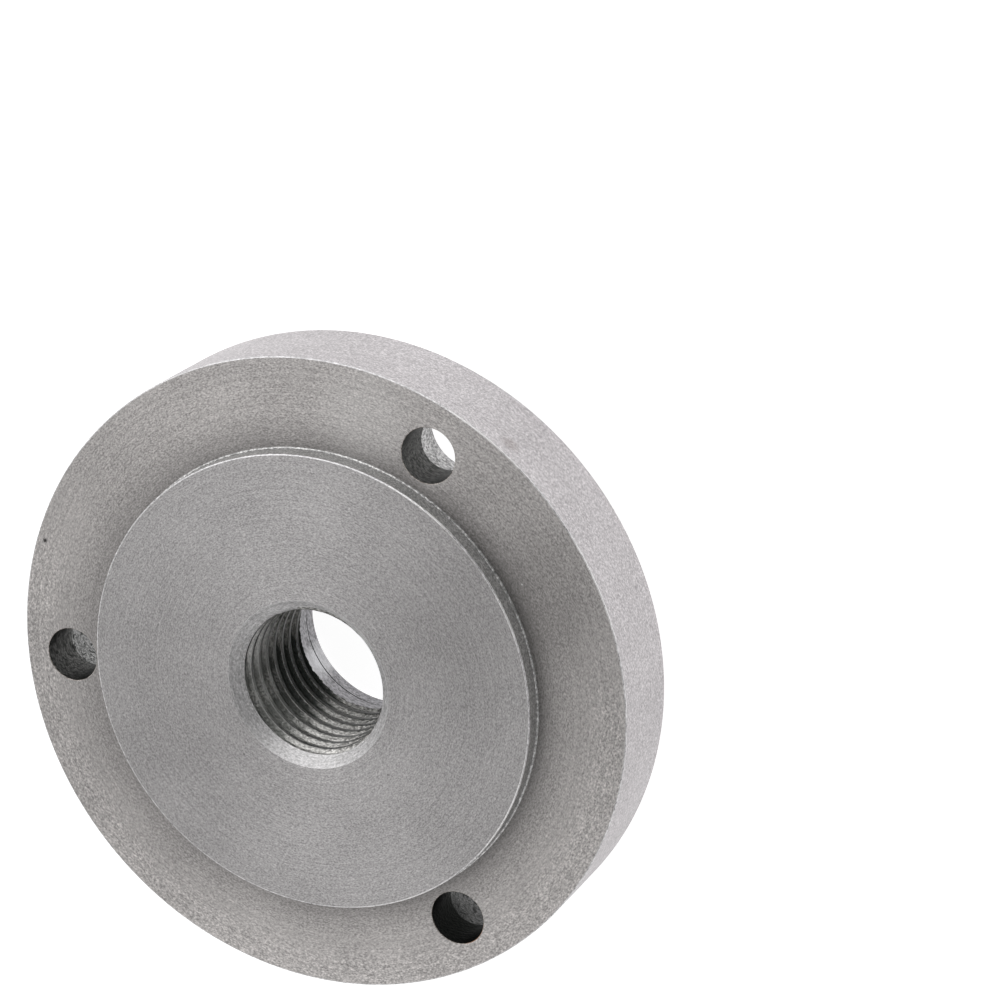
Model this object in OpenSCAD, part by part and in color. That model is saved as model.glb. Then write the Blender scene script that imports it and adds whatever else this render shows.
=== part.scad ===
// Threaded adapter that carries a plain back lathe chuck on a screwed spindle nose.
// One turned and drilled piece of iron. Millimetres.
// It stands on its hub: Z runs along the bore, up towards the chuck,
// and the origin is the centre of the hub's end face.

/* [Flange] */
// Diameter of the flange, the same as the chuck it carries
flange_d = 100; // [90:0.5:120]
// Thickness of the flange between its two faces
flange_t = 16; // [13:0.5:20]
// Sharp edge taken off on the chuck side of the rim
flange_front_break = 0.3; // [0.1:0.1:1]
// Chamfer on the hub side of the rim
flange_back_chamfer = 0.6; // [0.1:0.1:0.7]

/* [Register] */
// Width of the flange that the chuck seats on, from the rim in to the register
seat_w = 14; // [13:0.25:18]
// Height of the register above the flange
register_h = 2.8; // [2:0.1:6]
// Sharp edge taken off round the register
register_break = 0.2; // [0.1:0.1:1]
// Root radius left by the tool where the register meets the flange
register_root_r = 0.3; // [0.1:0.1:0.6]

/* [Hub] */
// Diameter of the hub
hub_d = 56.5; // [46:0.5:62]
// Height of the hub below the flange
hub_h = 10; // [8:0.5:20]
// Chamfer round the hub's end face
hub_chamfer = 1.6; // [0.5:0.1:3]
// Step out at the foot of the hub, where the turning tool stopped
foot_step = 0.25; // [0.1:0.05:1]
// Height of that step, measured from the flange
foot_h = 2.4; // [1.8:0.1:4]
// Root radius where the foot meets the flange
foot_root_r = 0.7; // [0.3:0.1:1.5]

/* [Spindle thread] */
// Outside diameter of the spindle thread that screws in, one inch
thread_d = 25.4; // [22:0.1:26]
// Pitch of the thread, ten turns to the inch
thread_pitch = 2.54; // [1.5:0.01:3.2]
// How far the countersink at the chuck end stands outside the thread
sink_clear = 0.6; // [0.2:0.1:2]
// Depth of that countersink along the bore
sink_depth = 1.5; // [0.5:0.1:3]

/* [Spindle recess] */
// Clearance on radius of the plain recess over the spindle thread
recess_clear = 0.4; // [0.1:0.05:1.5]
// Depth of the recess from the hub's end face, before its lead in cone
recess_depth = 6.3; // [4:0.1:9]
// Extra radius of the relief at the mouth of the recess
relief_step = 0.2; // [0.1:0.05:1]
// Depth of the relief from the hub's end face
relief_depth = 2.8; // [1:0.1:3.5]
// Sharp edge taken off at the mouth of the relief
relief_break = 0.15; // [0.05:0.05:0.8]

/* [Chuck screws] */
// How many screws hold the chuck
screw_count = 3; // [3:1:6]
// From the rim in to the middle of each screw hole
screw_inset = 8; // [7.75:0.25:9]
// Clearance hole for an 8 mm screw
screw_hole_d = 8.5; // [6:0.1:9]
// Counterbore for the head of the screw
head_d = 13.5; // [11:0.1:13.8]
// Depth of the counterbore from the hub side of the flange
head_depth = 9; // [6:0.5:11]
// Sharp edge taken off at the mouths of the holes
hole_break = 0.2; // [0.05:0.05:0.3]

/* [Hidden] */

$fn = 144;
// A cut runs this far past the face that it opens
past = 1;
// Straight facets in a quarter of a root radius
root_steps = 6;
// Depth of a 60 degree thread's inner crest, as a share of the pitch
crest_share = 0.54127;

iron = [0.56, 0.555, 0.55];

flange_r = flange_d / 2;
register_r = flange_r - seat_w;
screw_circle_r = flange_r - screw_inset;
hub_r = hub_d / 2;
foot_r = hub_r + foot_step;

thread_r = thread_d / 2;
thread_crest_r = thread_r - crest_share * thread_pitch;
sink_r = thread_r + sink_clear;
recess_r = thread_r + recess_clear;
relief_r = recess_r + relief_step;
// The cone from the recess down to the thread's crests slopes at 45 degrees
lead_in_z = recess_depth + recess_r - thread_crest_r;

flange_face_z = hub_h + flange_t;
top_z = flange_face_z + register_h;

// Points along an arc, from angle a0 to angle a1
function arc(centre, r, a0, a1) = [
    for (i = [0 : root_steps])
        let (a = a0 + (a1 - a0) * i / root_steps)
        centre + r * [cos(a), sin(a)]
];

// Outside of the turned section, from the hub's end face up to the register
function outside() = concat(
    [
        [hub_r - hub_chamfer, 0],
        [hub_r, hub_chamfer],
        [hub_r, hub_h - foot_h],
        [foot_r, hub_h - foot_h]
    ],
    arc([foot_r + foot_root_r, hub_h - foot_root_r], foot_root_r, 180, 90),
    [
        [flange_r - flange_back_chamfer, hub_h],
        [flange_r, hub_h + flange_back_chamfer],
        [flange_r, flange_face_z - flange_front_break],
        [flange_r - flange_front_break, flange_face_z]
    ],
    arc([register_r + register_root_r, flange_face_z + register_root_r], register_root_r, 270, 180),
    [
        [register_r, top_z - register_break],
        [register_r - register_break, top_z]
    ]
);

// Bore of the turned section, from the register down to the hub's end face
function bore() = [
    [sink_r, top_z],
    [thread_crest_r, top_z - sink_depth],
    [thread_crest_r, lead_in_z],
    [recess_r, recess_depth],
    [recess_r, relief_depth],
    [relief_r, relief_depth],
    [relief_r, relief_break],
    [relief_r + relief_break, 0]
];

// What the lathe leaves: flange, register, hub and bore in one setting
module turned_blank() {
    rotate_extrude()
        polygon(concat(outside(), bore()));
}

// One screw hole with its counterbore, along Z at the flange
module screw_hole() {
    hole_r = screw_hole_d / 2;
    head_r = head_d / 2;
    translate([0, 0, hub_h])
        cylinder(h = flange_t + past, r = hole_r);
    translate([0, 0, hub_h - past])
        cylinder(h = past + head_depth, r = head_r);
    // Deburred mouths on both faces
    translate([0, 0, hub_h - past])
        cylinder(h = past + hole_break, r1 = head_r + hole_break + past, r2 = head_r);
    translate([0, 0, flange_face_z - hole_break])
        cylinder(h = past + hole_break, r1 = hole_r, r2 = hole_r + hole_break + past);
}

// The whole adapter: turned, then drilled and counterbored for the chuck screws
module adapter_body() {
    color(iron)
        difference() {
            turned_blank();
            for (i = [0 : screw_count - 1])
                rotate(i * 360 / screw_count)
                    translate([screw_circle_r, 0, 0])
                        screw_hole();
        }
}

adapter_body();
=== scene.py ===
"""Looks of a threaded chuck adapter: one turned, threaded and drilled piece of iron, lying on its hub."""

import math

import bmesh
import bpy
from mathutils import Matrix, Vector, noise


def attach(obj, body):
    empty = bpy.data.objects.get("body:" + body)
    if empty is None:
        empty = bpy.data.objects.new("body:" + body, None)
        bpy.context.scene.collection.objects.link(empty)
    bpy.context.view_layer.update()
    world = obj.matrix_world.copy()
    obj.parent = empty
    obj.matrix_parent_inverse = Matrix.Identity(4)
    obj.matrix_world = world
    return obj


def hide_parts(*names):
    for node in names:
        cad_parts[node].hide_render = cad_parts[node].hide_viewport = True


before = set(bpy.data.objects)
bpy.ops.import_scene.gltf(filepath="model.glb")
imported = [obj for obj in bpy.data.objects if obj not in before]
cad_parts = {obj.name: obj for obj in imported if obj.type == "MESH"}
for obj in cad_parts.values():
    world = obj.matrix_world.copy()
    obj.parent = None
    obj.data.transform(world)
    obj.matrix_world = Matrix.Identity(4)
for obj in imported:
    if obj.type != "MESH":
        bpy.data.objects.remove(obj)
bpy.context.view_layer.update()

# Lengths below are in millimetres, and the model is in metres
MM = 0.001

# The turned section as corners: radius, height, how far the corner is rounded,
# the finish of that rounding, and the finish of the wall that leads on from it.
# It runs up the outside from the hub's end face, and back down the bore.
SECTION = (
    (26.65, 0.0, 0.15, "rubbed edge", "turned hub"),
    (28.25, 1.6, 0.15, "rubbed edge", "turned hub"),
    (28.25, 7.6, 0.04, "turned hub", "turned hub"),
    (28.5, 7.6, 0.08, "rubbed edge", "turned hub"),
    (28.5, 10.0, 0.7, "eased mouth", "faced back"),
    (49.4, 10.0, 0.12, "rubbed edge", "turned rim"),
    (50.0, 10.6, 0.12, "rubbed edge", "turned rim"),
    (50.0, 26.0, 0.17, "rubbed edge", "faced flange"),
    (36.0, 26.0, 0.28, "root line", "register side"),
    (36.0, 28.8, 0.24, "rubbed edge", "faced register"),
    (13.3, 28.8, 0.08, "rubbed edge", "eased mouth"),
    (11.325, 27.3, 0.05, "oiled thread in painted shade", "thread crest"),
    (11.325, 8.075, 0.05, "thread crest", "eased mouth"),
    (13.1, 6.3, 0.05, "bored recess", "bored recess"),
    (13.1, 2.8, 0.03, "bored recess", "bored recess"),
    (13.5, 2.8, 0.03, "bored recess", "bored recess"),
    # The slope of the small undercut is painted dark, as painted shade
    (13.5, 2.45, 0.03, "bored recess", "oiled thread in painted shade"),
    (13.3, 2.28, 0.02, "bored recess", "bored recess"),
    (13.3, 0.0, 0.15, "rubbed edge", "faced register"),
)
# Steps in a rounded corner, and columns round the whole adapter
CORNER_STEPS = 4
COLUMNS = 360

HUB_HEIGHT = 10.0
FLANGE_FACE = 26.0

# Thread of the spindle nose, right hand, ten turns to the inch
PITCH = 2.54
CREST_RADIUS = 11.325
# Height of one groove's middle where the thread crosses +X, and the turns cut below and above it
THREAD_START = 22.67
THREAD_TURNS_FROM = -8
THREAD_TURNS_TO = 3
# The cutter's outline over one turn: distance along the bore from the groove's middle, radius,
# and the finish that it leaves from there to the next point
# The root and lower flank of each groove are oiled and painted dark as painted shade
CUTTER = (
    (-1.27, 11.0, "thread crest"),
    (-1.1, 11.27, "worn edge with painted highlight"),
    (-0.88, 11.42, "cut thread"),
    (-0.55, 11.93, "oiled thread in painted shade"),
    (-0.33, 12.3, "oiled thread in painted shade"),
    (-0.22, 12.5, "oiled thread in painted shade"),
    (-0.12, 12.64, "oiled thread in painted shade"),
    (0.12, 12.64, "oiled thread in painted shade"),
    (0.22, 12.5, "oiled thread in painted shade"),
    (0.87, 11.41, "oiled thread in painted shade"),
    (0.92, 11.31, "thread crest"),
    (1.03, 11.2, "thread crest"),
)
# The points of the cutter this far from the groove's middle lie on the edge of a crest. They are
# torn together, as a point at CREST_HALF would be.
CREST_EDGE = (0.75, 1.2)
CREST_HALF = 0.9
# The crests are torn by up to this much where the tool dragged, and by a share of it along the bore
CREST_TEAR = 0.09
TEAR_ALONG = 0.5
# Fineness of the patches of tearing and of its two roughnesses, and its least and most share
TEAR_PATCH = 0.35
TEAR_ROUGH = (2.3, 5.1)
TEAR_LEAST = 0.25
TEAR_MOST = 1.5
# Height at which the thread runs out into the recess
THREAD_END = 8.075
# Above this height the countersink has turned the thread away, out to this radius
MOUTH_FROM = 27.3
MOUTH_RADIUS = 13.2
# How much more the run out is torn than the crests are, and how near to it a point has to be
END_TEAR = 4.0
END_NEAR = 0.1

# Screw holes, and the counterbores that sink the heads of the screws up to HEAD_SEAT
SCREW_COUNT = 3
SCREW_CIRCLE = 42.0
HOLE_RADIUS = 4.25
HEAD_RADIUS = 6.75
HEAD_SEAT = 19.0
# How far each counterbore stands off its screw hole in X and Y: the last one was drilled a little aside
HEAD_SHIFTS = ((0.0, 0.0), (0.0, 0.0), (0.33, -0.13))
# How far their mouths are eased, and the corner left at the bottom of a counterbore
HOLE_BREAK = 0.1
HEAD_BREAK = 0.03
HEAD_CORNER = 0.1
# A drill runs this far past the face that it opens, and flares by this much there
DRILL_PAST = 1.0
DRILL_FLARE = 0.1
HOLE_COLUMNS = 96

# Faces that meet at more than this angle keep a sharp edge
SHARP_ANGLE = math.radians(32)
# Points nearer to one another than this are one point
JOIN = 0.001


def rounded_corner(before, corner, after):
    """Points that round one corner of a section, which bulges or sinks as the corner does."""
    radius, height, size = corner[:3]
    at = Vector((radius, height))
    to_before = (Vector(before[:2]) - at).normalized()
    to_after = (Vector(after[:2]) - at).normalized()
    half = to_before.angle(to_after) / 2
    reach = size / math.tan(half)
    start = at + to_before * reach
    end = at + to_after * reach
    points = []
    for step in range(CORNER_STEPS + 1):
        t = step / CORNER_STEPS
        points.append(start * (1 - t) ** 2 + at * 2 * t * (1 - t) + end * t ** 2)
    return points


def rounded_section():
    """The closed outline of the turned section with its corners rounded, and the finish of each step."""
    points = []
    finishes = []
    for i, corner in enumerate(SECTION):
        before = SECTION[i - 1]
        after = SECTION[(i + 1) % len(SECTION)]
        points += rounded_corner(before, corner, after)
        finishes += [corner[3]] * CORNER_STEPS + [corner[4]]
    return points, finishes


def mesh_object(name, points, faces, finishes=None):
    """A mesh object from points in millimetres, with the finish of each face."""
    mesh = bpy.data.meshes.new(name)
    mesh.from_pydata([Vector(point) * MM for point in points], [], faces)
    if finishes:
        for finish in FINISHES:
            mesh.materials.append(bpy.data.materials[finish])
        mesh.polygons.foreach_set("material_index", [FINISHES.index(finish) for finish in finishes])
    mesh.update()
    made = bpy.data.objects.new(name, mesh)
    bpy.context.scene.collection.objects.link(made)
    return made


def turned_points(outline, columns):
    """An outline of radius and height, turned once about the axis."""
    points = []
    for column in range(columns):
        turn = math.tau * column / columns
        for radius, height in outline:
            points.append((radius * math.cos(turn), radius * math.sin(turn), height))
    return points


def turned_faces(rows, steps, columns):
    """The faces between the turned points, over the first steps of an outline of that many rows."""
    faces = []
    for column in range(columns):
        here = column * rows
        there = (column + 1) % columns * rows
        for row in range(steps):
            up = (row + 1) % rows
            faces.append((here + row, there + row, there + up, here + up))
    return faces


def turned_blank():
    """What the lathe leaves before the thread and the screw holes are cut."""
    outline, finishes = rounded_section()
    rows = len(outline)
    faces = turned_faces(rows, rows, COLUMNS)
    points = turned_points(outline, COLUMNS)
    for i, (x, y, height) in enumerate(points):
        if abs(height - THREAD_END) < END_NEAR and math.hypot(x, y) < CREST_RADIUS + END_NEAR:
            points[i] = (x, y, height + END_TEAR * torn(math.atan2(y, x), height))
    return mesh_object("adapter", points, faces, finishes * COLUMNS)


def torn(turn, height):
    """How far the crest is torn here: rough all round, and worse in patches."""
    spot = Vector((math.cos(turn), math.sin(turn), 0)) * CREST_RADIUS
    spot.z = height
    patch = noise.noise(spot * TEAR_PATCH) * 0.5 + 0.5
    rough = noise.noise(spot * TEAR_ROUGH[0]) + 0.5 * noise.noise(spot * TEAR_ROUGH[1])
    return CREST_TEAR * rough * (TEAR_LEAST + TEAR_MOST * patch * patch)


def thread_cutter():
    """A closed threaded rod that cuts the grooves: one outline carried round the bore as it climbs."""
    rows = len(CUTTER)
    turns = THREAD_TURNS_TO - THREAD_TURNS_FROM
    total = turns * rows + 1
    points = []
    for column in range(COLUMNS):
        turn = math.tau * column / COLUMNS
        for row in range(total):
            along, radius, _ = CUTTER[row % rows]
            middle = THREAD_START + PITCH * (THREAD_TURNS_FROM + row // rows + column / COLUMNS)
            height = middle + along
            if CREST_EDGE[0] < abs(along) < CREST_EDGE[1]:
                tear = torn(turn, middle + math.copysign(CREST_HALF, along))
                radius += tear
                height -= math.copysign(abs(tear) * TEAR_ALONG, along)
            points.append((radius * math.cos(turn), radius * math.sin(turn), height))

    def at(column, row):
        if column == COLUMNS:
            return row + rows
        return column * total + row

    faces = []
    finishes = []
    for column in range(COLUMNS):
        last = total - 1 if column < COLUMNS - 1 else total - 1 - rows
        for row in range(last):
            faces.append((at(column, row), at(column + 1, row), at(column + 1, row + 1), at(column, row + 1)))
            finishes.append(CUTTER[row % rows][2])
    # Each end closes on the rod's axis, outside the iron
    low = len(points)
    points.append((0, 0, points[0][2] + PITCH / 2))
    high = len(points)
    points.append((0, 0, points[total - 1][2] - PITCH / 2))
    low_loop = [at(column, 0) for column in range(COLUMNS)] + list(range(rows, 0, -1))
    high_loop = [at(column, total - 1) for column in range(COLUMNS)]
    high_loop[-1:] = [at(COLUMNS - 1, row) for row in range(total - 1, total - 2 - rows, -1)]
    for loop, tip in ((low_loop, low), (high_loop, high)):
        for i, here in enumerate(loop):
            faces.append((here, tip, loop[(i + 1) % len(loop)]))
    finishes += ["oiled thread in painted shade"] * (len(faces) - len(finishes))
    return mesh_object("thread cutter", points, faces, finishes)


def drill(number):
    """The stepped tool that leaves a screw hole and its counterbore, with both mouths eased."""
    low = HUB_HEIGHT
    high = FLANGE_FACE
    outline = [(HEAD_RADIUS + HEAD_BREAK + DRILL_FLARE, low - DRILL_PAST)]
    for step in range(CORNER_STEPS + 1):
        lean = math.pi / 2 * step / CORNER_STEPS
        ease = HEAD_BREAK * (1 - math.sin(lean))
        outline.append((HEAD_RADIUS + ease, low + HEAD_BREAK * (1 - math.cos(lean))))
    outline += [
        (HEAD_RADIUS, HEAD_SEAT - HEAD_CORNER),
        (HEAD_RADIUS - HEAD_CORNER, HEAD_SEAT),
        (HOLE_RADIUS, HEAD_SEAT),
    ]
    finishes = ["hole edge"] * (CORNER_STEPS + 1) + ["counterbore"] * 3
    for step in range(CORNER_STEPS + 1):
        lean = math.pi / 2 * step / CORNER_STEPS
        ease = HOLE_BREAK * (1 - math.cos(lean))
        outline.append((HOLE_RADIUS + ease, high - HOLE_BREAK * (1 - math.sin(lean))))
    outline.append((HOLE_RADIUS + HOLE_BREAK + DRILL_FLARE, high + DRILL_PAST))
    finishes += ["oiled hole"] + ["hole edge"] * (CORNER_STEPS + 1)
    rows = len(outline)
    faces = turned_faces(rows, rows - 1, HOLE_COLUMNS)
    # A flat cap closes each end, outside the iron
    faces.append(tuple(column * rows for column in reversed(range(HOLE_COLUMNS))))
    faces.append(tuple(column * rows + rows - 1 for column in range(HOLE_COLUMNS)))
    turn = math.tau * number / SCREW_COUNT
    out = Vector((math.cos(turn), math.sin(turn), 0.0))
    aside = Vector((*HEAD_SHIFTS[number], 0.0))
    points = []
    for x, y, height in turned_points(outline, HOLE_COLUMNS):
        head = math.hypot(x, y) > (HOLE_RADIUS + HEAD_RADIUS) / 2
        points.append(Vector((x, y, height)) + out * SCREW_CIRCLE + (aside if head else Vector()))
    return mesh_object("drill", points, faces, finishes * HOLE_COLUMNS + ["counterbore"] * 2)


def cut(body, tool):
    """Takes tool away from body for good."""
    modifier = body.modifiers.new("cut", "BOOLEAN")
    modifier.operation = "DIFFERENCE"
    modifier.solver = "EXACT"
    modifier.object = tool
    bpy.context.view_layer.update()
    shaped = bpy.data.meshes.new_from_object(body.evaluated_get(bpy.context.evaluated_depsgraph_get()))
    body.modifiers.clear()
    body.data = shaped
    bpy.data.objects.remove(tool)


def split_under_folds(mesh):
    """Splits each quad that a triangle is folded back on, so that one half of it is that triangle again."""
    diagonals = {}
    for triangle in mesh.faces:
        if len(triangle.verts) != 3:
            continue
        for quad in [near for edge in triangle.edges for near in edge.link_faces]:
            if len(quad.verts) == 4 and set(triangle.verts) < set(quad.verts):
                corners = list(quad.verts)
                alone = [corner not in triangle.verts for corner in corners].index(True)
                diagonals[quad] = (corners[alone - 1], corners[(alone + 1) % 4])
    for quad, (first, second) in diagonals.items():
        bmesh.utils.face_split(quad, first, second)


def joined(body):
    """Joins the points that the cuts left on top of one another, and drops faces that lie back to back."""
    mesh = bmesh.new()
    mesh.from_mesh(body.data)
    bmesh.ops.remove_doubles(mesh, verts=mesh.verts, dist=JOIN * MM)
    bmesh.ops.dissolve_degenerate(mesh, edges=mesh.edges, dist=JOIN * MM)
    bmesh.ops.triangulate(mesh, faces=[face for face in mesh.faces if len(face.verts) > 4])
    split_under_folds(mesh)
    found = {}
    folded = []
    for face in mesh.faces:
        corners = frozenset(face.verts)
        if corners in found:
            folded += [face, found.pop(corners)]
        else:
            found[corners] = face
    bmesh.ops.delete(mesh, geom=folded, context="FACES")
    mesh.to_mesh(body.data)
    mesh.free()


def adapter():
    """The whole adapter: turned, threaded, then drilled and counterbored."""
    body = turned_blank()
    cut(body, thread_cutter())
    for number in range(SCREW_COUNT):
        cut(body, drill(number))
    joined(body)
    mouth = FINISHES.index("eased mouth")
    for polygon in body.data.polygons:
        polygon.use_smooth = True
        middle = polygon.center / MM
        if middle.z > MOUTH_FROM and math.hypot(middle.x, middle.y) < MOUTH_RADIUS:
            polygon.material_index = mouth
    body.data.set_sharp_from_angle(angle=SHARP_ANGLE)
    even = body.modifiers.new("even shading", "WEIGHTED_NORMAL")
    even.keep_sharp = True
    # The large flat faces decide how their edges are shaded
    even.weight = 100
    return body


def node(tree, kind, inputs=None, **settings):
    """A new node with its settings, and with its inputs set or linked."""
    made = tree.nodes.new(kind)
    for name, value in settings.items():
        setattr(made, name, value)
    for name, value in (inputs or {}).items():
        if isinstance(value, bpy.types.NodeSocket):
            tree.links.new(value, made.inputs[name])
        else:
            made.inputs[name].default_value = value
    return made


def sums(tree, operation, first, second=0.5, third=0.5):
    """The outcome of one step of arithmetic."""
    inputs = {0: first, 1: second, 2: third}
    return node(tree, "ShaderNodeMath", inputs, operation=operation).outputs[0]


def ramp(tree, value, low, high):
    """A value from 0 at low to 1 at high."""
    inputs = {"Value": value, "From Min": low, "From Max": high}
    return node(tree, "ShaderNodeMapRange", inputs, clamp=True).outputs["Result"]


def new_group(name, inputs, outputs):
    """An empty node group with its sockets. Inputs are name and usual value; outputs are names."""
    group = bpy.data.node_groups.new(name, "ShaderNodeTree")
    for title, usual in inputs:
        socket = group.interface.new_socket(title, in_out="INPUT", socket_type="NodeSocketFloat")
        socket.default_value = usual
    for title in outputs:
        group.interface.new_socket(title, in_out="OUTPUT", socket_type="NodeSocketFloat")
    return group, group.nodes.new("NodeGroupInput").outputs, group.nodes.new("NodeGroupOutput").inputs


def lathe_place():
    """Where a point is on the lathe, in millimetres: its distance from the axis, height, X and Y."""
    group, _, out = new_group("lathe place", (), ("Radius", "Height", "X", "Y"))
    place = node(group, "ShaderNodeTexCoord").outputs["Object"]
    parts = node(group, "ShaderNodeSeparateXYZ", {0: place}).outputs
    x = sums(group, "MULTIPLY", parts["X"], 1 / MM)
    y = sums(group, "MULTIPLY", parts["Y"], 1 / MM)
    square = sums(group, "MULTIPLY_ADD", x, x, sums(group, "MULTIPLY", y, y))
    links = group.links
    links.new(sums(group, "SQRT", square), out["Radius"])
    links.new(sums(group, "MULTIPLY", parts["Z"], 1 / MM), out["Height"])
    links.new(x, out["X"])
    links.new(y, out["Y"])
    return group


def placed(tree, groups, name, **inputs):
    """The outputs of a shared effect, which is placed in a tree with its own values."""
    values = {title.capitalize(): value for title, value in inputs.items()}
    return node(tree, "ShaderNodeGroup", values, node_tree=groups[name]).outputs


def centred(group, value, contrast):
    """A texture's value, pulled away from its middle by contrast."""
    spread = sums(group, "MULTIPLY_ADD", sums(group, "SUBTRACT", value, 0.5), contrast, 0.5)
    return sums(group, "MINIMUM", sums(group, "MAXIMUM", spread, 0.0), 1.0)


def solid_vector(group, groups):
    """A point of the iron in millimetres."""
    place = placed(group, groups, "lathe place")
    parts = {"X": place["X"], "Y": place["Y"], "Z": place["Height"]}
    return node(group, "ShaderNodeCombineXYZ", parts).outputs[0]


def turned_grain(groups):
    """Grain of the cut iron, drawn out round the axis: Stretch is its length over its width."""
    inputs = (("Size", 0.3), ("Stretch", 4.0), ("Contrast", 1.5))
    group, given, out = new_group("turned grain", inputs, ("Shade",))
    place = placed(group, groups, "lathe place")
    length = sums(group, "MULTIPLY", given["Size"], given["Stretch"])
    vector = node(group, "ShaderNodeCombineXYZ", {
        "X": sums(group, "DIVIDE", place["Radius"], given["Size"]),
        "Y": sums(group, "DIVIDE", place["X"], length),
        "Z": sums(group, "DIVIDE", place["Y"], length),
    }).outputs[0]
    texture = node(group, "ShaderNodeTexNoise", {
        "Vector": vector,
        "W": sums(group, "DIVIDE", place["Height"], given["Size"]),
        "Scale": 1.0,
        "Detail": GRAIN_DETAIL,
        "Roughness": GRAIN_ROUGHNESS,
    }, noise_dimensions="4D")
    shade = centred(group, texture.outputs[0], given["Contrast"])
    group.links.new(sums(group, "POWER", shade, GRAIN_CURVE), out["Shade"])
    return group


def lathe_rings(groups):
    """Rings that the tool leaves as it feeds: Spacing is the feed."""
    inputs = (("Spacing", 0.4), ("Contrast", 1.5))
    group, given, out = new_group("lathe rings", inputs, ("Shade",))
    place = placed(group, groups, "lathe place")
    both = sums(group, "ADD", place["Radius"], place["Height"])
    texture = node(group, "ShaderNodeTexNoise", {
        "W": sums(group, "DIVIDE", both, given["Spacing"]),
        "Scale": 1.0,
        "Detail": 3.0,
        "Roughness": 0.7,
    }, noise_dimensions="1D")
    group.links.new(centred(group, texture.outputs[0], given["Contrast"]), out["Shade"])
    return group


def tone_drift(groups):
    """Slow change of tone over the surface, as oil and handling leave it."""
    inputs = (("Size", 12.0), ("Contrast", 1.5))
    group, given, out = new_group("tone drift", inputs, ("Shade",))
    texture = node(group, "ShaderNodeTexNoise", {
        "Vector": solid_vector(group, groups),
        "Scale": sums(group, "DIVIDE", 1.0, given["Size"]),
        "Detail": 3.0,
        "Roughness": 0.55,
    })
    group.links.new(centred(group, texture.outputs[0], given["Contrast"]), out["Shade"])
    return group


def cut_iron(groups):
    """Tone, height and roughness of the cut iron, from its grain, its rings and its drift."""
    inputs = (("Grain", 0.5), ("Rings", 0.5), ("Drift", 0.5), ("Roughness", 0.5))
    group, given, out = new_group("cut iron", inputs, ("Shade", "Height", "Roughness"))
    shade = sums(group, "MULTIPLY", given["Grain"], GRAIN_SHARE)
    shade = sums(group, "MULTIPLY_ADD", given["Rings"], RING_SHARE, shade)
    shade = sums(group, "MULTIPLY_ADD", given["Drift"], DRIFT_SHARE, shade)
    smooth = sums(group, "SUBTRACT", given["Roughness"], ROUGHNESS_SPREAD / 2)
    links = group.links
    links.new(shade, out["Shade"])
    links.new(sums(group, "MULTIPLY_ADD", given["Rings"], RING_RELIEF, given["Grain"]), out["Height"])
    links.new(sums(group, "MULTIPLY_ADD", given["Grain"], ROUGHNESS_SPREAD, smooth), out["Roughness"])
    return group


def coarse_zone(groups):
    """Where coarse grain lies: the outer part of a face, on the side to which X and Y point."""
    inputs = (("Inner", 41.0), ("Outer", 46.5), ("X", 1.0), ("Y", 0.0))
    group, given, out = new_group("coarse zone", inputs, ("Mask",))
    place = placed(group, groups, "lathe place")
    across = sums(group, "MULTIPLY", place["X"], given["X"])
    across = sums(group, "MULTIPLY_ADD", place["Y"], given["Y"], across)
    zone = ramp(group, place["Radius"], given["Inner"], given["Outer"])
    mask = sums(group, "MULTIPLY", zone, ramp(group, across, COARSE_FROM, COARSE_TO))
    group.links.new(mask, out["Mask"])
    return group


def painted_corner_shade(groups):
    """Painted shade beside a step: Share of the tone goes at Inner, and nothing at Outer."""
    inputs = (("Share", 0.4), ("Inner", 36.0), ("Outer", 41.0))
    group, given, out = new_group("painted corner shade", inputs, ("Shade",))
    place = placed(group, groups, "lathe place")
    fade = ramp(group, place["Radius"], given["Outer"], given["Inner"])
    less = sums(group, "MULTIPLY", given["Share"], -1.0)
    group.links.new(sums(group, "MULTIPLY_ADD", fade, less, 1.0), out["Shade"])
    return group


def small_mark(groups):
    """A nick, speck or smear, or a patch of painted light or shade, with a ragged edge, Size millimetres from
    its middle to its edge.
    """
    inputs = (("X", 0.0), ("Y", 0.0), ("Height", 0.0), ("Size", 0.5))
    group, given, out = new_group("small mark", inputs, ("Mask",))
    middle = node(group, "ShaderNodeCombineXYZ", {
        "X": given["X"], "Y": given["Y"], "Z": given["Height"],
    }).outputs[0]
    here = solid_vector(group, groups)
    apart = node(group, "ShaderNodeVectorMath", {0: here, 1: middle}, operation="DISTANCE").outputs["Value"]
    ragged = node(group, "ShaderNodeTexNoise", {"Vector": here, "Scale": MARK_RAGGED, "Detail": 2.0})
    reach = sums(group, "MULTIPLY", given["Size"], sums(group, "ADD", ragged.outputs[0], 0.5))
    inner = sums(group, "MULTIPLY", reach, MARK_CORE)
    mask = sums(group, "SUBTRACT", 1.0, ramp(group, apart, inner, reach))
    group.links.new(mask, out["Mask"])
    return group


def casting_pits(groups):
    """Black pits left where the casting was not clean, on one side of the adapter."""
    group, given, out = new_group("casting pits", (("Size", 0.6), ("Amount", 0.35)), ("Mask",))
    texture = node(group, "ShaderNodeTexNoise", {
        "Vector": solid_vector(group, groups),
        "Scale": sums(group, "DIVIDE", 1.0, given["Size"]),
        "Detail": 1.0,
    }).outputs[0]
    edge = sums(group, "SUBTRACT", PIT_LEVEL, sums(group, "MULTIPLY", given["Amount"], 0.5))
    mask = ramp(group, texture, edge, sums(group, "ADD", edge, PIT_SOFTNESS))
    zone = ramp(group, placed(group, groups, "lathe place")["X"], *PIT_ZONE)
    group.links.new(sums(group, "MULTIPLY", mask, zone), out["Mask"])
    return group


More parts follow.
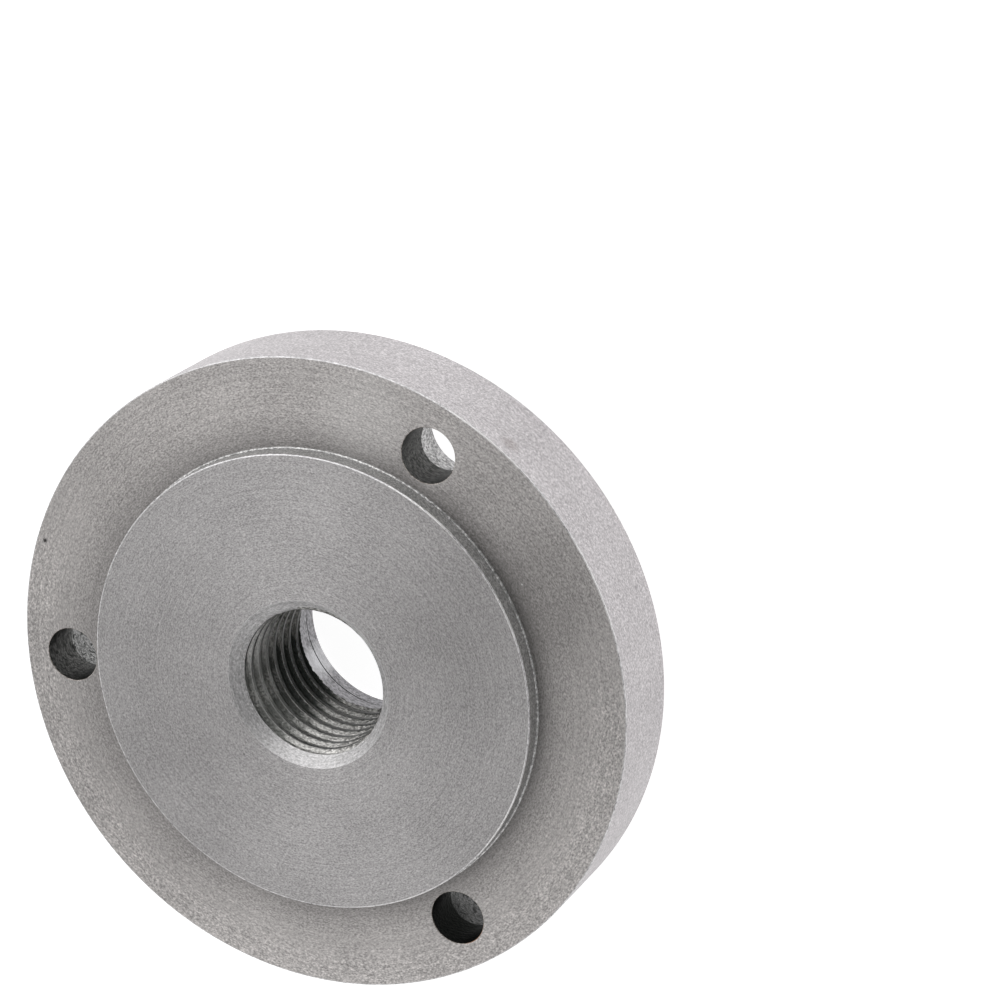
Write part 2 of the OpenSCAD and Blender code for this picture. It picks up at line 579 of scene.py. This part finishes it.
def bore_oil_and_shade(groups):
    """Old oil with painted shade on one side of the bore, both thicker towards the hub, and dust with painted
    light above.
    """
    group, given, out = new_group("bore oil and painted shade", (("Strength", 1.0),), ("Mask", "Thick", "Dust"))
    place = placed(group, groups, "lathe place")
    along = sums(group, "MULTIPLY", place["X"], math.cos(OIL_SIDE))
    along = sums(group, "MULTIPLY_ADD", place["Y"], math.sin(OIL_SIDE), along)
    ragged = node(group, "ShaderNodeTexNoise", {
        "Vector": solid_vector(group, groups), "Scale": OIL_RAGGED, "Detail": 3.0,
    }).outputs[0]
    along = sums(group, "MULTIPLY_ADD", sums(group, "SUBTRACT", ragged, 0.5), OIL_WANDER, along)
    round_bore = ramp(group, along, OIL_FROM, OIL_TO)
    group.links.new(ramp(group, place["Height"], *OIL_HEIGHTS), out["Thick"])
    beside = sums(group, "MULTIPLY", place["X"], -math.sin(STREAK_SIDE))
    beside = sums(group, "MULTIPLY_ADD", place["Y"], math.cos(STREAK_SIDE), beside)
    streak = ramp(group, sums(group, "ABSOLUTE", beside), STREAK_HALF, STREAK_HALF / 2)
    streak = sums(group, "MULTIPLY", streak, ramp(group, place["Height"], *STREAK_HEIGHTS))
    specks = node(group, "ShaderNodeTexNoise", {
        "Vector": solid_vector(group, groups), "Scale": SPECK_SCALE, "Detail": 2.0,
    }).outputs[0]
    streak = sums(group, "MULTIPLY", streak, ramp(group, specks, *SPECK_RANGE))
    left = sums(group, "MULTIPLY_ADD", streak, -STREAK_CLEAR, 1.0)
    mask = sums(group, "MULTIPLY", sums(group, "MULTIPLY", round_bore, left), given["Strength"])
    group.links.new(mask, out["Mask"])
    dust = sums(group, "MULTIPLY_ADD", streak, 1 - FILM_DUST, FILM_DUST)
    dust = sums(group, "MULTIPLY", dust, ramp(group, place["Height"], *DUST_HEIGHTS))
    group.links.new(sums(group, "MULTIPLY", dust, round_bore), out["Dust"])
    return group


def shared_groups():
    """Every effect that more than one finish uses, built once."""
    groups = {"lathe place": lathe_place()}
    groups["turned grain"] = turned_grain(groups)
    groups["lathe rings"] = lathe_rings(groups)
    groups["tone drift"] = tone_drift(groups)
    groups["cut iron"] = cut_iron(groups)
    groups["coarse zone"] = coarse_zone(groups)
    groups["painted corner shade"] = painted_corner_shade(groups)
    groups["small mark"] = small_mark(groups)
    groups["casting pits"] = casting_pits(groups)
    groups["bore oil and painted shade"] = bore_oil_and_shade(groups)
    return groups


def effect(tree, groups, name, **inputs):
    """The outcome of a shared effect that has only one."""
    return placed(tree, groups, name, **inputs)[0]


def blend_colour(tree, share, first, second):
    """A mix of two colours."""
    made = node(tree, "ShaderNodeMix", {"Factor": share}, data_type="RGBA")
    for slot, value in ((6, first), (7, second)):
        if isinstance(value, bpy.types.NodeSocket):
            tree.links.new(value, made.inputs[slot])
        else:
            made.inputs[slot].default_value = (*value, 1)
    return made.outputs[2]


# Colours of the old oil and its painted shade: thin, thick, on the crests of the thread, and black, which
# also paints shade in the holes
THIN_OIL_AND_SHADE = (0.1, 0.107, 0.098)
THICK_OIL_AND_SHADE = (0.021, 0.027, 0.023)
CREST_OIL_AND_SHADE = (0.025, 0.028, 0.025)
BLACK_SHADE = (0.004, 0.005, 0.004)
# Under the oil the corners of the crests are rubbed bright and carry a painted highlight, more so towards the
# hub
RUBBED = (0.4, 0.4, 0.39)
RUBBED_AND_HIGHLIT = (0.95, 0.95, 0.93)

# How each finish looks. Tones are the dark and the light end of its grain. Grain is size, stretch
# and contrast, and rings is spacing and contrast. Coarse is a rougher grain on the outer part of a
# face: its size, stretch and contrast, the radii over which it comes in, and the side that has it.
# Corner is painted shade beside a step: its share, and the radii over which it fades. Oil is how
# much of the tone the oil and its painted shade on one side of the bore take, oil colours are their
# thin and thick colours where they aren't the usual ones, and dust is the share of the dust and
# painted light that it holds. Pits is the strength of the casting pits. Metallic is below 1 where the
# iron is dull, and glancing is the strength of its shine at a glancing angle, lowered as painted shade.
FINISH_LOOKS = {
    "faced register": {
        "tones": ((0.145, 0.14, 0.14), (0.8, 0.78, 0.78)),
        "grain": (0.24, 1.4, 1.65), "rings": (0.45, 2.2), "roughness": 0.6, "relief": 0.02, "spun": 0.5,
    },
    "faced flange": {
        "tones": ((0.13, 0.125, 0.122), (0.86, 0.826, 0.812)),
        "grain": (0.25, 1.5, 1.8), "rings": (0.6, 2.4), "roughness": 0.62, "relief": 0.025, "spun": 0.5,
        "coarse": ((0.29, 1.3, 2.4), (41.0, 46.5), 200.0),
        "corner": (0.4, 36.3, 41.5),
    },
    "faced back": {
        "tones": ((0.14, 0.138, 0.134), (0.82, 0.805, 0.79)),
        "grain": (0.24, 1.5, 2.1), "rings": (0.6, 2.4), "roughness": 0.6, "relief": 0.02, "spun": 0.4,
        "coarse": ((0.26, 1.3, 1.9), (32.0, 46.0), 200.0),
        "corner": (0.45, 28.5, 35.0),
    },
    "turned rim": {
        "tones": ((0.25, 0.235, 0.241), (0.92, 0.885, 0.9)),
        "grain": (0.24, 1.3, 2.1), "rings": (0.5, 1.6), "roughness": 0.55, "relief": 0.015, "spun": 0.2,
    },
    "turned hub": {
        "tones": ((0.2, 0.195, 0.195), (0.76, 0.745, 0.75)),
        "grain": (0.22, 2.0, 2.2), "rings": (0.4, 2.4), "roughness": 0.5, "relief": 0.015, "spun": 0.3,
    },
    "register side": {
        "tones": ((0.4, 0.4, 0.395), (1.0, 0.99, 0.98)),
        "grain": (0.22, 1.4, 4.0), "rings": (0.3, 2.4), "roughness": 0.5, "relief": 0.03, "spun": 0.0,
        "metallic": 0.4,
    },
    "root line": {
        "tones": ((0.2, 0.2, 0.2), (1.0, 0.99, 0.98)),
        "grain": (0.3, 1.4, 3.4), "rings": (0.5, 1.0), "roughness": 0.38, "relief": 0.03, "spun": 0.0,
    },
    "rubbed edge": {
        "tones": ((0.35, 0.345, 0.35), (1.0, 0.985, 0.99)),
        "grain": (0.28, 2.0, 2.6), "rings": (0.5, 1.0), "roughness": 0.32, "relief": 0.02, "spun": 0.0,
    },
    "eased mouth": {
        "tones": ((0.27, 0.265, 0.265), (0.95, 0.935, 0.94)),
        "grain": (0.25, 1.6, 1.9), "rings": (0.3, 5.0), "roughness": 0.5, "relief": 0.03, "spun": 0.0,
    },
    "bored recess": {
        "tones": ((0.1, 0.098, 0.103), (0.5, 0.49, 0.51)),
        "grain": (0.3, 1.6, 3.0), "rings": (0.35, 2.0), "roughness": 0.4, "relief": 0.015, "spun": 0.0,
    },
    "cut thread": {
        "tones": ((0.12, 0.12, 0.115), (0.97, 0.95, 0.92)),
        "grain": (0.3, 1.6, 3.2), "rings": (0.4, 1.0), "roughness": 0.38, "relief": 0.05, "spun": 0.0,
        "oil": 0.9, "dust": 0.5,
    },
    # The upper corner of each crest: worn, with a painted highlight under the oil
    "worn edge with painted highlight": {
        "tones": ((0.2, 0.2, 0.195), (0.7, 0.69, 0.67)),
        "grain": (0.3, 2.0, 2.6), "rings": (0.4, 1.0), "roughness": 0.35, "relief": 0.03, "spun": 0.0,
        "oil": 0.9, "oil colours": (RUBBED, RUBBED_AND_HIGHLIT), "dust": 0.15,
    },
    # The roots and lower flanks of the grooves: oil and painted shade
    "oiled thread in painted shade": {
        "tones": ((0.03, 0.033, 0.03), (0.36, 0.355, 0.34)),
        "grain": (0.32, 1.8, 3.0), "rings": (0.4, 1.0), "roughness": 0.38, "relief": 0.04, "spun": 0.0,
        "oil": 0.8, "dust": 0.9,
    },
    # The crest lands are painted near black as painted shade, under their oil
    "thread crest": {
        "tones": ((0.01, 0.012, 0.01), (0.1, 0.097, 0.094)),
        "grain": (0.3, 1.8, 3.0), "rings": (0.4, 1.0), "roughness": 0.4, "relief": 0.03, "spun": 0.0,
        "oil": 0.97, "oil colours": (CREST_OIL_AND_SHADE, BLACK_SHADE), "dust": 0.3,
    },
    # The hole walls are painted dark, as painted shade
    "oiled hole": {
        "tones": ((0.013, 0.015, 0.013), (0.235, 0.232, 0.228)),
        "grain": (0.36, 1.8, 3.0), "rings": (0.5, 1.0), "roughness": 0.42, "relief": 0.03, "spun": 0.0,
        "pits": 0.6, "glancing": 0.6,
    },
    "hole edge": {
        "tones": ((0.14, 0.12, 0.105), (0.74, 0.7, 0.66)),
        "grain": (0.28, 1.6, 3.4), "rings": (0.35, 1.6), "roughness": 0.5, "relief": 0.03, "spun": 0.0,
    },
    "counterbore": {
        "tones": ((0.1, 0.1, 0.1), (0.78, 0.77, 0.77)),
        "grain": (0.34, 1.4, 3.6), "rings": (0.35, 1.6), "roughness": 0.45, "relief": 0.05, "spun": 0.0,
        "pits": 0.85,
    },
}
FINISHES = tuple(FINISH_LOOKS)
# Shares of grain, rings and slow drift in the tone of every finish
GRAIN_SHARE = 0.75
RING_SHARE = 0.12
DRIFT_SHARE = 0.13
# How much lighter the coarse grain is
COARSE_LIFT = 0.13
# Above 1, the light grains stand out more than the dark ones
GRAIN_CURVE = 1.3
# How many finer layers the grain has, and how strong they are
GRAIN_DETAIL = 2.0
GRAIN_ROUGHNESS = 0.55
# Size and contrast of the slow drift
DRIFT_SIZE = 14.0
DRIFT_CONTRAST = 1.6
# Distances across the axis, towards its side, over which the coarse grain comes in
COARSE_FROM = -24.0
COARSE_TO = -6.0
# How far the rings stand out beside the grain, and how far the grain spreads the roughness
RING_RELIEF = 0.3
ROUGHNESS_SPREAD = 0.12
# Turns of the shine's long way, so that it lies along the tool's rings
SHINE_TURN = 0.25
# Fineness of a small mark's ragged edge, and the share of its size that is full strength
MARK_RAGGED = 3.0
MARK_CORE = 0.4
# Colours of the small marks, and of the patches of painted shade, highlight and reflection
NICK = (0.03, 0.028, 0.028)
RUST = (0.13, 0.09, 0.07)
FRESH_RUST = (0.3, 0.15, 0.07)
PAINTED_SHADE = (0.06, 0.055, 0.05)
BRIGHT = (0.95, 0.94, 0.93)
PIT = (0.015, 0.015, 0.015)
PAINTED_REFLECTION = (0.8, 0.8, 0.82)
# Size and amount of the casting pits, the level of the noise at which none are left, and how
# softly they end
PIT_SIZE = 0.9
PIT_AMOUNT = 0.4
PIT_LEVEL = 0.8
PIT_SOFTNESS = 0.04
# Over this much of X the pits come in
PIT_ZONE = (10.0, -10.0)
# The oil and its painted shade lie round this direction of the bore, from one distance towards it to
# the other, with an edge that wanders. They thicken from the first height down to the second.
OIL_SIDE = math.radians(148)
OIL_FROM = 9.3
OIL_TO = 10.7
OIL_RAGGED = 0.7
OIL_WANDER = 3.0
OIL_HEIGHTS = (23.0, 14.5)
# It is lifted in a speckled streak in this direction, down to the first of these heights
STREAK_SIDE = math.radians(141)
STREAK_HALF = 2.4
STREAK_HEIGHTS = (16.0, 19.5)
STREAK_CLEAR = 0.75
SPECK_SCALE = 2.4
SPECK_RANGE = (0.4, 0.56)
# The oil film holds this share of the dust and painted light of the streak, which come in over these heights
FILM_DUST = 0.45
DUST_HEIGHTS = (17.0, 21.5)
DUST_AND_PAINTED_LIGHT = (0.5, 0.5, 0.48)
# Nicks, specks, smears and patches of painted light and shade by finish: place in millimetres, size, strength
# and colour
MARKS = {
    "faced flange": (
        (-6.6, 48.1, 26.0, 0.45, 0.9, NICK),
        (32.8, -21.1, 26.0, 0.17, 0.9, BRIGHT),
        # Painted shade over this side of the flange
        (32.2, -24.2, 26.0, 13.0, 0.2, PAINTED_SHADE),
        # Painted light on this side of the flange
        (41.5, 11.1, 26.0, 9.0, 0.12, BRIGHT),
    ),
    "faced register": (
        (-5.1, -17.3, 28.8, 0.26, 0.55, NICK),
        (-16.5, 4.0, 28.8, 0.26, 0.5, NICK),
        (13.8, -6.6, 28.8, 0.26, 0.45, NICK),
        # Painted shade over this side of the register face
        (22.5, -18.0, 28.8, 13.0, 0.1, PAINTED_SHADE),
        (15.9, -4.2, 0.0, 0.8, 0.6, RUST),
        (16.5, -3.4, 0.0, 0.8, 0.5, NICK),
    ),
    "faced back": (
        (41.6, 20.8, 10.0, 0.4, 0.8, NICK),
        (-14.3, 31.5, 10.0, 1.6, 0.3, RUST),
    ),
    "oiled hole": (
        # Painted shade deep in one hole
        (-21.0, -36.4, 22.0, 14.0, 0.95, BLACK_SHADE),
    ),
    "counterbore": (
        # Painted shade deep in the counterbores of two holes
        (-21.0, -36.4, 15.0, 18.0, 0.8, BLACK_SHADE),
        (-21.0, 36.4, 15.0, 18.0, 0.45, THICK_OIL_AND_SHADE),
        (-27.3, -33.9, 18.0, 5.0, 0.85, BLACK_SHADE),
    ),
    "hole edge": (
        (-22.1, -40.6, 26.0, 3.0, 0.8, FRESH_RUST),
    ),
    "cut thread": (
        # Painted highlight on the upper turns of the thread
        (-2.0, 11.3, 22.5, 6.0, 0.4, BRIGHT),
    ),
    "worn edge with painted highlight": (
        # Painted highlight on the upper turns of the thread
        (-2.0, 11.3, 22.5, 6.0, 0.3, BRIGHT),
    ),
    "thread crest": (
        # Painted highlight on the upper turns of the thread
        (-7.0, -8.9, 23.5, 6.5, 0.3, BRIGHT),
    ),
    "bored recess": (
        # A painted reflection down the recess wall
        (-11.3, 6.6, 1.2, 3.6, 0.4, PAINTED_REFLECTION),
        (-11.3, 6.6, 4.4, 3.4, 0.4, PAINTED_REFLECTION),
    ),
    "rubbed edge": (
        # Painted highlights along the edges where they catch the light
        (35.9, -3.1, 28.6, 8.0, 0.9, BRIGHT),
        (28.6, -21.9, 28.6, 7.0, 0.7, BRIGHT),
        (0.6, -36.0, 28.6, 12.0, 0.7, BRIGHT),
        (-23.1, -27.6, 28.6, 12.0, 0.4, BRIGHT),
        (39.7, -30.4, 25.8, 10.0, 0.6, BRIGHT),
        (49.6, -6.5, 25.8, 10.0, 0.5, BRIGHT),
    ),
    "eased mouth": (
        # Painted highlight on the countersink
        (12.9, -2.3, 28.3, 7.0, 0.5, BRIGHT),
    ),
    "turned rim": (
        (49.1, -9.2, 22.7, 1.8, 0.3, RUST),
        (-35.5, -35.2, 25.4, 0.5, 0.8, NICK),
    ),
}


def iron_finish(name, look, groups):
    """Bare iron: grain between a dark and a light tone, rings of the tool, slow drift, marks, painted shade
    and highlights.
    """
    material = bpy.data.materials.new(name)
    material.use_nodes = True
    tree = material.node_tree
    tree.nodes.clear()
    size, stretch, contrast = look["grain"]
    grain = effect(tree, groups, "turned grain", size=size, stretch=stretch, contrast=contrast)
    ring = effect(tree, groups, "lathe rings", spacing=look["rings"][0], contrast=look["rings"][1])
    drift = effect(tree, groups, "tone drift", size=DRIFT_SIZE, contrast=DRIFT_CONTRAST)
    if "coarse" in look:
        (size, stretch, contrast), (inner, outer), side = look["coarse"]
        coarse = effect(tree, groups, "turned grain", size=size, stretch=stretch, contrast=contrast)
        coarse = sums(tree, "ADD", coarse, COARSE_LIFT)
        turn = math.radians(side)
        zone = effect(tree, groups, "coarse zone", inner=inner, outer=outer,
                      x=math.cos(turn), y=math.sin(turn))
        grain = node(tree, "ShaderNodeMix", {0: zone, 2: grain, 3: coarse}).outputs[0]
    iron = placed(tree, groups, "cut iron", grain=grain, rings=ring, drift=drift, roughness=look["roughness"])
    shade = iron["Shade"]
    # Painted shade beside a step of the section
    if "corner" in look:
        share, inner, outer = look["corner"]
        step_shade = effect(tree, groups, "painted corner shade", share=share, inner=inner, outer=outer)
        shade = sums(tree, "MULTIPLY", shade, step_shade)
    colour = blend_colour(tree, shade, *look["tones"])
    # Oil with painted shade on one side of the bore, and dust with painted light over it
    if "oil" in look:
        oil_and_shade = placed(tree, groups, "bore oil and painted shade", strength=look["oil"])
        oil = blend_colour(tree, oil_and_shade["Thick"], *look.get("oil colours", (THIN_OIL_AND_SHADE, THICK_OIL_AND_SHADE)))
        colour = blend_colour(tree, oil_and_shade["Mask"], colour, oil)
        colour = blend_colour(tree, sums(tree, "MULTIPLY", oil_and_shade["Dust"], look["dust"]), colour, DUST_AND_PAINTED_LIGHT)
    if "pits" in look:
        pits = effect(tree, groups, "casting pits", size=PIT_SIZE, amount=PIT_AMOUNT)
        colour = blend_colour(tree, sums(tree, "MULTIPLY", pits, look["pits"]), colour, PIT)
    for x, y, height, size, strength, mark_colour in MARKS.get(name, ()):
        mark = effect(tree, groups, "small mark", x=x, y=y, height=height, size=size)
        colour = blend_colour(tree, sums(tree, "MULTIPLY", mark, strength), colour, mark_colour)
    relief = node(tree, "ShaderNodeBump", {
        "Height": iron["Height"],
        "Strength": 1.0,
        "Distance": look["relief"] * MM,
    })
    shader = node(tree, "ShaderNodeBsdfPrincipled", {
        "Base Color": colour,
        "Metallic": look.get("metallic", 1.0),
        "Roughness": iron["Roughness"],
        "Normal": relief.outputs[0],
        "Anisotropic": look["spun"],
        "Specular Tint": (look.get("glancing", 1.0),) * 3 + (1,),
    })
    if look["spun"]:
        shader.inputs["Anisotropic Rotation"].default_value = SHINE_TURN
        around = node(tree, "ShaderNodeTangent", direction_type="RADIAL", axis="Z")
        tree.links.new(around.outputs[0], shader.inputs["Tangent"])
    output = node(tree, "ShaderNodeOutputMaterial")
    tree.links.new(shader.outputs[0], output.inputs["Surface"])


# The floor is a shallow dish, turned from its middle outwards: flat, and then up to a low wall far away
FLOOR_BELOW = 0.05
FLOOR_MIDDLE = 0.01
FLOOR_RADIUS = 2500.0
SWEEP_RADIUS = 500.0
WALL_TOP = 1200.0
FLOOR_COLUMNS = 96
SWEEP_STEPS = 12
# How bright the floor looks to the camera and in reflections
FLOOR_GLOW = 0.93
FLOOR_COLOUR = (0.45, 0.45, 0.45)


def seen_directly(tree):
    """One where the camera, a reflection or glass looks at a surface, and nothing for soft light."""
    path = node(tree, "ShaderNodeLightPath").outputs
    first = sums(tree, "MAXIMUM", path["Is Camera Ray"], path["Is Glossy Ray"])
    return sums(tree, "MAXIMUM", first, path["Is Transmission Ray"])


def pale_floor():
    """A plain white floor and low backdrop in one sweep, which keeps a soft shadow."""
    outline = [(FLOOR_MIDDLE, -FLOOR_BELOW)]
    for step in range(SWEEP_STEPS + 1):
        lean = math.pi / 2 * step / SWEEP_STEPS
        outline.append((FLOOR_RADIUS + SWEEP_RADIUS * math.sin(lean),
                        SWEEP_RADIUS * (1 - math.cos(lean)) - FLOOR_BELOW))
    outline.append((FLOOR_RADIUS + SWEEP_RADIUS, WALL_TOP))
    rows = len(outline)
    faces = turned_faces(rows, rows - 1, FLOOR_COLUMNS)
    floor = mesh_object("floor", turned_points(outline, FLOOR_COLUMNS), [face[::-1] for face in faces])
    material = bpy.data.materials.new("floor")
    material.use_nodes = True
    tree = material.node_tree
    shader = tree.nodes["Principled BSDF"]
    shader.inputs["Base Color"].default_value = (*FLOOR_COLOUR, 1)
    shader.inputs["Roughness"].default_value = 0.9
    shader.inputs["Specular IOR Level"].default_value = 0.0
    shader.inputs["Emission Color"].default_value = (1, 1, 1, 1)
    glow = sums(tree, "MULTIPLY", seen_directly(tree), FLOOR_GLOW)
    tree.links.new(glow, shader.inputs["Emission Strength"])
    # A camera below the floor looks through it
    below = node(tree, "ShaderNodeNewGeometry").outputs["Backfacing"]
    clear = node(tree, "ShaderNodeBsdfTransparent").outputs[0]
    both = node(tree, "ShaderNodeMixShader", {0: below, 1: shader.outputs[0], 2: clear})
    tree.links.new(both.outputs[0], tree.nodes["Material Output"].inputs["Surface"])
    floor.data.materials.append(material)


# Strength of the even light from all round
WORLD_LIGHT = 0.22
# Name, azimuth, elevation, distance, width, height and radiance of each soft box
LAMPS = (
    ("side lamp", 165, 60, 0.7, 0.9, 0.7, 0.8),
    ("top lamp", 62, 48, 0.7, 0.9, 0.5, 1.6),
)


def studio_world(strength):
    """Dim even light from all round."""
    world = bpy.data.worlds.new("studio")
    world.use_nodes = True
    world.node_tree.nodes["Background"].inputs["Color"].default_value = (1, 1, 1, 1)
    world.node_tree.nodes["Background"].inputs["Strength"].default_value = strength
    bpy.context.scene.world = world


def soft_lamp(name, azimuth, elevation, distance, width, height, radiance):
    """A soft box that faces the adapter, as bright as its radiance says."""
    light = bpy.data.lights.new(name, "AREA")
    light.shape = "RECTANGLE"
    light.size = width
    light.size_y = height
    light.energy = radiance * math.pi * width * height
    lamp = bpy.data.objects.new(name, light)
    turn = math.radians(azimuth)
    rise = math.radians(elevation)
    way = Vector((math.cos(turn) * math.cos(rise), math.sin(turn) * math.cos(rise), math.sin(rise)))
    lamp.matrix_world = Matrix.Translation(way * distance) @ way.to_track_quat("Z", "Y").to_matrix().to_4x4()
    bpy.context.scene.collection.objects.link(lamp)


# The camera looks down on the adapter as the photographer did on its chuck side
CAMERA_PLACE = Vector((0.261423, -0.104737, 0.4461))
CAMERA_LOOK = Vector((-0.453798, 0.1912, -0.87035))
CAMERA_UP = Vector((0.790617, 0.536968, -0.294263))
CAMERA_LENS = 121.04
CAMERA_SENSOR = 36
CAMERA_REACH = (0.01, 20)


def photo_camera():
    """The camera, turned so that the picture stands as the photograph does."""
    data = bpy.data.cameras.new("camera")
    data.sensor_fit = "HORIZONTAL"
    data.sensor_width = CAMERA_SENSOR
    data.lens = CAMERA_LENS
    data.clip_start, data.clip_end = CAMERA_REACH
    camera = bpy.data.objects.new("camera", data)
    back = -CAMERA_LOOK.normalized()
    right = CAMERA_UP.cross(back).normalized()
    up = back.cross(right)
    turn = Matrix((right, up, back)).transposed()
    camera.matrix_world = Matrix.Translation(CAMERA_PLACE) @ turn.to_4x4()
    bpy.context.scene.collection.objects.link(camera)
    bpy.context.scene.camera = camera


effects = shared_groups()
for finish, look in FINISH_LOOKS.items():
    iron_finish(finish, look, effects)
body = adapter()
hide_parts("adapter_body")
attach(body, "root")

pale_floor()
studio_world(WORLD_LIGHT)
for lamp in LAMPS:
    soft_lamp(*lamp)
photo_camera()

bpy.context.scene.view_settings.view_transform = "Standard"
